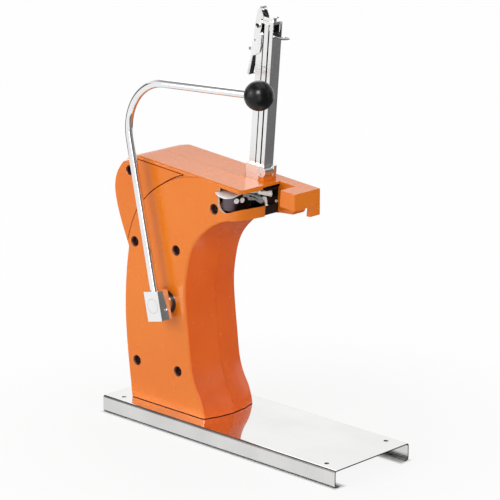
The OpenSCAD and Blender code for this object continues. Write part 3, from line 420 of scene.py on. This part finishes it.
# Faces that look ahead, or down under the arch, below the top of the front are painted a deeper,
# redder orange: painted shade.
FRONT_TOP = -38
FRONT_SLOPE = 0.7
ARCH_AHEAD, ARCH_DOWN = 0.2, -0.3
for moulding in (near_half, far_half):
    front_shade_index = len(moulding.data.materials)
    moulding.data.materials.append(front_orange_painted_shade)
    for face in moulding.data.polygons:
        up = head_place(face.center)[2]
        under_arch = face.normal.x > ARCH_AHEAD and face.normal.z < ARCH_DOWN
        looks_sideways = abs(face.normal.y) >= FRONT_SLOPE
        looks_ahead = (face.normal.x > FRONT_SLOPE or under_arch) and not looks_sideways
        if face.material_index == 0 and looks_ahead and up < FRONT_TOP:
            face.material_index = front_shade_index
dress("casing_screws", "casing_cap_screws", 0.25, blackened)
# The gasket under the casing is painted near black with little gloss: painted shade along the foot of
# the casing.
gasket_painted_shade = dark_finish(
    "gasket_painted_shade", (0.002, 0.002, 0.002), (0.004, 0.004, 0.004), (0.8, 0.9), 0.0, 0.1, 900)
gasket_painted_shade.node_tree.nodes["Principled BSDF"].inputs["Specular IOR Level"].default_value = 0.1
paint_solids(gasket_painted_shade, "base_gasket")

# Neck guide in the mouth.
# A white plated sheet gathers what is to be clipped over a dark wall, with a fork below its edge.
# A fan plate and a bent finger stand before the black punch guide; small slotted screws hold them.
def soft_step(tree, value, start, end, low=0.0, high=1.0):
    """A smooth change from low to high while the value goes from start to end."""
    step = tree.nodes.new("ShaderNodeMapRange")
    step.interpolation_type = "SMOOTHSTEP"
    step.inputs["From Min"].default_value = start
    step.inputs["From Max"].default_value = end
    step.inputs["To Min"].default_value = low
    step.inputs["To Max"].default_value = high
    tree.links.new(value, step.inputs["Value"])
    return step.outputs["Result"]


def axis_places(tree):
    """The three object coordinates as separate values."""
    places = tree.nodes.new("ShaderNodeSeparateXYZ")
    tree.links.new(place_texture(tree, (1, 1, 1)), places.inputs["Vector"])
    return places.outputs


bright_plate = metal_finish(
    "bright_plate", (0.80, 0.80, 0.79), (0.88, 0.88, 0.87), (0.08, 0.16), 240, (1, 0.04, 1), 0.02)
white_plate = metal_finish(
    "white_plate", (0.93, 0.93, 0.92), (0.97, 0.97, 0.96), (0.30, 0.42), 240, (1, 0.04, 1), 0.05)
white_plate.node_tree.nodes["Principled BSDF"].inputs["Metallic"].default_value = 0.15
wall_dark = dark_finish(
    "wall_dark", (0.085, 0.062, 0.074), (0.120, 0.090, 0.104), (0.25, 0.4), 0.3, 0.05, 500)
wall_tree = wall_dark.node_tree
wall_shader = wall_tree.nodes["Principled BSDF"]
# Deeper into the mouth the wall's colour fades to near black: painted shade.
wall_painted_shade = wall_tree.nodes.new("ShaderNodeMix")
wall_painted_shade.data_type = "RGBA"
wall_shade_depth = soft_step(wall_tree, axis_places(wall_tree)["Y"], -36.5 * MM, -31 * MM)
wall_tree.links.new(wall_shade_depth, wall_painted_shade.inputs["Factor"])
wall_tree.links.new(wall_shader.inputs["Base Color"].links[0].from_socket, wall_painted_shade.inputs["A"])
wall_painted_shade.inputs["B"].default_value = (0.004, 0.004, 0.004, 1)
wall_tree.links.new(wall_painted_shade.outputs["Result"], wall_shader.inputs["Base Color"])
dress("neck_plate", "neck_wing", 0.3, white_plate)
dress("neck_wall", "neck_dark_wall", 0.25, wall_dark)
dress("wall_screws", "wall_slot_screws", 0.3, white_plate)
dress("neck_rail", "neck_fork", 0.3, bright_plate)
dress("plate_screws", "neck_screws", 0.2, zinc_plate)
dress("punch_guide", "guide_block", 0.4, blackened)
dress("guide_front", "guide_fan", 0.3, white_plate)
dress("neck_finger", "neck_bent_finger", 0.25, white_plate)
dress("front_screws", "guide_face_screws", 0.2, white_plate)
dress("throat_block", "throat_filler", 0.4, blackened)
dress("die_block", "die_holder", 0.4, blackened)
dress("die", "clip_die", 0.2, ground_steel)

# Clip magazine.
# A chromed square tube with a closing strip in its near slot, held in a folded collar on the head.
# The cap holds the feed spring down and has a small bent tab.
chrome = metal_finish(
    "chrome_plate", (0.78, 0.78, 0.79), (0.86, 0.86, 0.87), (0.03, 0.09), 40, (1, 1, 1), 0.01)
satin_chrome = metal_finish(
    "satin_chrome", (0.80, 0.80, 0.80), (0.87, 0.87, 0.87), (0.16, 0.25), 300, (1, 1, 0.03), 0.03)
inside_painted_shade = dark_finish(
    "inside_painted_shade", (0.010, 0.010, 0.010), (0.022, 0.021, 0.020), (0.35, 0.5), 0.4, 0.05, 300)
dress("magazine_collar", "magazine_clamp", 0.5, chrome)
dress("collar_screws", "clamp_screws", 0.2, zinc_plate)
magazine_tube = dress("magazine_channel", "magazine_tube", 0.35, satin_chrome)
magazine_tube.data.materials.append(inside_painted_shade)
# The upright faces inside the tube's bore are painted near black: painted shade inside the tube.
BORE_REAR, BORE_FRONT = -85.3, -62.7
BORE_NEAR, BORE_FAR = 9.2, 22.8
# The head's directions are one millimetre long, so a slope along them is in millimetres too.
HALF_SLOPE = 0.5 * MM
for face in magazine_tube.data.polygons:
    forward, across = head_place(face.center)[:2]
    upright = abs(face.normal.dot(head_up)) < HALF_SLOPE
    if upright and BORE_REAR < forward < BORE_FRONT and BORE_NEAR < across < BORE_FAR:
        face.material_index = 1
dress("magazine_strip", "magazine_closing_strip", 0.25, bright_plate)
dress("magazine_cap", "magazine_top_cap", 0.25, chrome)

# Clip follower and its feed spring.
# A black block in the tube, pushed down by a coil and lifted by a wire grip through the far slot.
# On the machine the coil stretches as the follower goes down; here it is built at one length.
dress("clip_follower", "follower_block", 0.5, bush_black)
dress("follower_grip", "follower_wire", 0.4, chrome)
feed_low, feed_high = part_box("feed_spring")
feed_middle = (feed_low + feed_high) / 2
feed_reach = head_up.normalized() * ((feed_high.z - feed_low.z) / 2 - SEAT_GAP)
feed_coil = coil_spring(
    "feed_coil", feed_middle + feed_reach, feed_middle - feed_reach, 5.35 * MM, 1.3 * MM, 4)
coat(feed_coil, bright_plate)
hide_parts("feed_spring")
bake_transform(feed_coil)

# Latch lever.
# A pressed and chromed channel on a hollow rivet at the magazine's back, with a finger flap below.
# A black pad inside it, seen through a notch, stands in for the shade there: painted shade.
latch_channel = dress("latch_lever", "latch_channel", 0.25, satin_chrome)
latch_channel.data.materials.append(inside_painted_shade)
# Inner faces of the finger flap and the beak are painted near black: painted shade inside the
# channel.
FLAP_TOP = 151
BEAK_LOW, BEAK_HIGH = 198, 207
LEVER_NEAR, LEVER_FAR = 7, 16.5
for face in latch_channel.data.polygons:
    across, up = head_place(face.center)[1:]
    in_flap_or_beak = up < FLAP_TOP or BEAK_LOW < up < BEAK_HIGH
    looks_in = face.normal.dot(head_forward) > HALF_SLOPE and LEVER_NEAR < across < LEVER_FAR
    if looks_in and in_flap_or_beak:
        face.material_index = 1
# A black pad behind the notch stands in for the shade there: painted shade.
dress("lever_pad", "latch_shade_pad", 0.2, stop_black)


def off_axis(face, axis):
    """How far a face lies from an axis that runs across the machine."""
    return Vector((face.center.x - axis.x, 0, face.center.z - axis.z)).length


latch_rivet = dress("latch_pin", "latch_rivet", 0.3, bright_plate)
latch_rivet.data.materials.append(inside_painted_shade)
rivet_low, rivet_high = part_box("latch_pin")
rivet_axis = (rivet_low + rivet_high) / 2
# Faces inside the rivet's hole are painted near black: painted shade in the hole.
RIVET_HOLE = 1.6 * MM
RIVET_DEPTH = 3.5 * MM
for face in latch_rivet.data.polygons:
    if off_axis(face, rivet_axis) < RIVET_HOLE and face.center.y < rivet_low.y + RIVET_DEPTH:
        face.material_index = 1

# Handle.
# A bent chromed rod in a square hub block on the shaft, with a glossy black ball on its end.
# A set screw in the block's front holds the shaft.
hub_square = dress("hub_block", "hub_square", 0.6, bright_end)
hub_square.data.materials.append(joint_line)
hub_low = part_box("hub_block")[0]
HUB_RIM_DEPTH = 0.7 * MM
hub_rim_radius = (shaft_high.x - shaft_low.x) / 2 + 1 * MM
for face in hub_square.data.polygons:
    on_rim = face.center.y < hub_low.y + HUB_RIM_DEPTH and face.normal.y > RIM_SLOPE
    if on_rim and off_axis(face, shaft_axis) < hub_rim_radius:
        face.material_index = 1
dress("hub_set_screw", "hub_grub_screw", 0.2, bright_plate)
rod_radius = 5 * MM
rod_lean = radians(12.2)
rod_rise = radians(3)
rod_turn = pi / 2 + rod_lean - rod_rise
bend_radius = 65 * MM
rod_in_ball = 2 * MM
rod_foot = Vector((-107.2, -62, 172.06)) * MM
ball_centre = Vector((70.9, -62, 454)) * MM
along_low = Vector((-sin(rod_lean), 0, cos(rod_lean)))
along_high = Vector((cos(rod_rise), 0, sin(rod_rise)))
reach_to_ball = ball_centre - rod_foot
low_length = (reach_to_ball.z * along_high.x - reach_to_ball.x * along_high.z) / (
    along_low.z * along_high.x - along_low.x * along_high.z)
rod_corner = rod_foot + low_length * along_low
bend_cut = bend_radius * tan(rod_turn / 2)
bend_end = rod_corner + bend_cut * along_high
bend_centre = bend_end + bend_radius * Vector((along_high.z, 0, -along_high.x))
bpy.ops.object.select_all(action="DESELECT")
bpy.ops.mesh.primitive_circle_add(
    vertices=48, radius=rod_radius, fill_type="NGON", location=rod_foot, rotation=(0, -rod_lean, 0))
handle_rod = bpy.context.active_object
handle_rod.name = "handle_rod"
bpy.ops.object.transform_apply(location=True, rotation=True, scale=True)
bpy.ops.object.mode_set(mode="EDIT")
bpy.ops.mesh.select_all(action="SELECT")
bpy.ops.mesh.extrude_region_move(
    TRANSFORM_OT_translate={"value": (low_length - bend_cut) * along_low})
bpy.ops.mesh.spin(steps=48, angle=-rod_turn, center=bend_centre, axis=(0, 1, 0))
high_length = (ball_centre - bend_end).length - rod_in_ball
bpy.ops.mesh.extrude_region_move(TRANSFORM_OT_translate={"value": high_length * along_high})
bpy.ops.mesh.select_all(action="SELECT")
bpy.ops.mesh.remove_doubles(threshold=MERGE_GAP)
bpy.ops.mesh.normals_make_consistent(inside=False)
bpy.ops.object.mode_set(mode="OBJECT")
smooth_faces(handle_rod, 40)
fit(handle_rod, chrome, "handle_bar")
ball_black, _, ball_shader = moulded_finish(
    "ball_black", (0.003, 0.003, 0.003), (0.006, 0.006, 0.007), (30,), (0.23, 0.29), (60, 4.0))
ball_shader.inputs["Specular IOR Level"].default_value = 0.25
ball_radius = 18 * MM
flat_depth = 1.1 * MM
bore_radius = 5.06 * MM
bore_depth = 15 * MM
bpy.ops.object.select_all(action="DESELECT")
bpy.ops.mesh.primitive_uv_sphere_add(
    segments=64, ring_count=40, radius=ball_radius, location=ball_centre,
    rotation=(0, pi / 2 - rod_rise, 0))
handle_ball = bpy.context.active_object
handle_ball.name = "handle_ball"
bpy.ops.object.transform_apply(location=True, rotation=True, scale=True)
bpy.ops.object.mode_set(mode="EDIT")
bpy.ops.mesh.select_all(action="SELECT")
flat_centre = ball_centre - (ball_radius - flat_depth) * along_high
bpy.ops.mesh.bisect(plane_co=flat_centre, plane_no=along_high, use_fill=True, clear_inner=True)
flat_radius = (ball_radius ** 2 - (ball_radius - flat_depth) ** 2) ** 0.5
bpy.ops.mesh.inset(thickness=flat_radius - bore_radius, use_even_offset=True)
bpy.ops.mesh.extrude_region_move(TRANSFORM_OT_translate={"value": bore_depth * along_high})
bpy.ops.mesh.select_all(action="SELECT")
bpy.ops.mesh.normals_make_consistent(inside=False)
bpy.ops.object.mode_set(mode="OBJECT")
break_edges(handle_ball, 0.4, 30)
fit(handle_ball, ball_black, "ball_knob")

# Studio.
# A pale floor that fades to white, soft lamps, and a camera at the photograph's angle.
# Dark mats and cards, and one lamp, show only in reflections and give metal and gloss their contrast.
def combine(tree, operation, *values):
    """A maths node of this kind over these values."""
    maths = tree.nodes.new("ShaderNodeMath")
    maths.operation = operation
    for place, value in enumerate(values):
        tree.links.new(value, maths.inputs[place])
    return maths.outputs["Value"]


def seen_directly(tree):
    """One for camera, glossy and transmitted rays."""
    path = tree.nodes.new("ShaderNodeLightPath").outputs
    camera_or_gloss = combine(tree, "MAXIMUM", path["Is Camera Ray"], path["Is Glossy Ray"])
    return combine(tree, "MAXIMUM", camera_or_gloss, path["Is Transmission Ray"])


floor_white, floor_tree, floor_shader = new_finish("floor_white")
floor_shader.inputs["Roughness"].default_value = 0.7
floor_shader.inputs["Specular IOR Level"].default_value = 0.1
floor_tree.links.new(
    between(floor_tree, cloud(floor_tree, 0.8), (0.70, 0.70, 0.70), (0.73, 0.73, 0.73)),
    floor_shader.inputs["Base Color"])
glow = floor_tree.nodes.new("ShaderNodeEmission")
glow.inputs["Color"].default_value = (1, 1, 1, 1)
glow.inputs["Strength"].default_value = 1.0

# The floor whitens away from the machine, and stays dark under the plate except at its open end.
far_off = floor_tree.nodes.new("ShaderNodeVectorMath")
far_off.operation = "LENGTH"
floor_tree.links.new(place_texture(floor_tree, (1, 1, 1)), far_off.inputs[0])
whiter = soft_step(floor_tree, far_off.outputs["Value"], 0.15, 0.5, 0.87, 0.98)
share = combine(floor_tree, "MULTIPLY", seen_directly(floor_tree), whiter)
floor_place = axis_places(floor_tree)
off_middle = {axis: combine(floor_tree, "ABSOLUTE", floor_place[axis]) for axis in "XY"}
PLATE_HALF = {"X": 200 * MM, "Y": 67.5 * MM}
EDGE_INSIDE = 1.5 * MM
CONTACT = 5 * MM
outside = [
    soft_step(floor_tree, off_middle[axis], half - EDGE_INSIDE, half + CONTACT)
    for axis, half in PLATE_HALF.items()]
near_end = soft_step(floor_tree, floor_place["X"], 138 * MM, 156 * MM)
between_lips = soft_step(floor_tree, off_middle["Y"], 47 * MM, 56 * MM, 1.0, 0.0)
lit_floor = combine(
    floor_tree, "MAXIMUM", combine(floor_tree, "MAXIMUM", *outside),
    combine(floor_tree, "MULTIPLY", near_end, between_lips))
blend_floor = floor_tree.nodes.new("ShaderNodeMixShader")
floor_tree.links.new(combine(floor_tree, "MULTIPLY", share, lit_floor), blend_floor.inputs["Fac"])
floor_tree.links.new(floor_shader.outputs["BSDF"], blend_floor.inputs[1])
floor_tree.links.new(glow.outputs["Emission"], blend_floor.inputs[2])
floor_tree.links.new(
    blend_floor.outputs["Shader"], floor_tree.nodes["Material Output"].inputs["Surface"])
FLOOR_SIZE = 24
FLOOR_DROP = 0.1 * MM
bpy.ops.object.select_all(action="DESELECT")
bpy.ops.mesh.primitive_plane_add(size=FLOOR_SIZE, location=(0, 0, -FLOOR_DROP))
floor = bpy.context.active_object
floor.name = "studio_floor"
coat(floor, floor_white)

world = bpy.data.worlds.new("studio_world")
bpy.context.scene.world = world
world.use_nodes = True
sky_tree = world.node_tree
sky = sky_tree.nodes["Background"]
sky.inputs["Color"].default_value = (1, 1, 1, 1)
sight = sky_tree.nodes.new("ShaderNodeTexCoord")
sky_parts = sky_tree.nodes.new("ShaderNodeSeparateXYZ")
sky_tree.links.new(sight.outputs["Generated"], sky_parts.inputs["Vector"])
sky_tree.links.new(
    soft_step(sky_tree, sky_parts.outputs["Z"], 0.3, 0.75, 1.0, 0.25), sky.inputs["Strength"])

dark_cloth = dark_finish(
    "dark_cloth", (0.15, 0.15, 0.15), (0.19, 0.19, 0.19), (0.8, 0.9), 0.0, 0.1, 60)


def dark_card(name, place, size=1.0, turn=(0, 0, 0), stretch=(1, 1, 1)):
    """A dark sheet that only reflections show."""
    bpy.ops.object.select_all(action="DESELECT")
    bpy.ops.mesh.primitive_plane_add(size=size, location=place, rotation=turn)
    shade = bpy.context.active_object
    shade.name = name
    bpy.ops.transform.resize(value=stretch)
    coat(shade, dark_cloth)
    shade.visible_camera = False
    shade.visible_diffuse = False
    shade.visible_shadow = False


dark_card("studio_mat", (0.75, 0.80, 1 * MM), stretch=(2.7, 1.4, 1))
dark_card("studio_front_mat", (1.17, -0.25, 1 * MM), stretch=(1.86, 0.7, 1))
dark_card("studio_card", (0.95, 1.15, 0.5), 1.0, (pi / 2, 0, radians(-41)))
dark_card("studio_left_card", (-1.3, -0.35, 0.4), 0.9, (pi / 2, 0, pi / 2))
dark_card("studio_front_card", (1.5, -0.1, 0.7), 1.5, (pi / 2, 0, -pi / 2))

aim = Vector((-2.96, 0, 240.33)) * MM


def soft_lamp(name, place, width, height, power):
    """A soft box that faces the machine."""
    lamp = bpy.data.lights.new(name, "AREA")
    lamp.shape = "RECTANGLE"
    lamp.size = width
    lamp.size_y = height
    lamp.energy = power
    holder = bpy.data.objects.new(name, lamp)
    bpy.context.scene.collection.objects.link(holder)
    holder.location = place
    holder.rotation_euler = (aim - holder.location).to_track_quat("-Z", "Y").to_euler()
    holder.visible_camera = False
    return holder


soft_lamp("side_lamp", Vector((-0.9, -2.0, 1.3)), 2.0, 2.0, 21)
soft_lamp("key_lamp", Vector((-0.9, -2.0, 1.25)), 0.35, 0.35, 5.5)
soft_lamp("top_lamp", Vector((0.1, 0.3, 2.2)), 1.6, 1.6, 9.5)
soft_lamp("back_lamp", Vector((-1.9, 1.8, 2.2)), 1.4, 1.4, 9)
soft_lamp("edge_lamp", Vector((1.75, -1.65, 0.55)), 0.15, 1.1, 4)
soft_lamp("front_lamp", Vector((2.0, 0.35, 0.9)), 1.0, 1.0, 5)
shine_lamp = soft_lamp("shine_lamp", Vector((1.25, -1.75, 2.1)), 1.0, 1.0, 70)
shine_lamp.visible_diffuse = False

bpy.context.scene.view_settings.view_transform = "Standard"
FOCAL_PIXELS = 2439.86
IMAGE_PIXELS = 500
CAMERA_DISTANCE = 3.0
azimuth = radians(43.72)
elevation = radians(15.58)
back = Vector((
    sin(azimuth) * cos(elevation), -cos(azimuth) * cos(elevation), sin(elevation)))
camera_data = bpy.data.cameras.new("photo_camera")
camera_data.sensor_width = 36
camera_data.lens = camera_data.sensor_width * FOCAL_PIXELS / IMAGE_PIXELS
camera_data.clip_end = 50
camera = bpy.data.objects.new("photo_camera", camera_data)
bpy.context.scene.collection.objects.link(camera)
camera.location = aim + CAMERA_DISTANCE * back
camera.rotation_euler = (-back).to_track_quat("-Z", "Y").to_euler()
bpy.context.scene.camera = camera
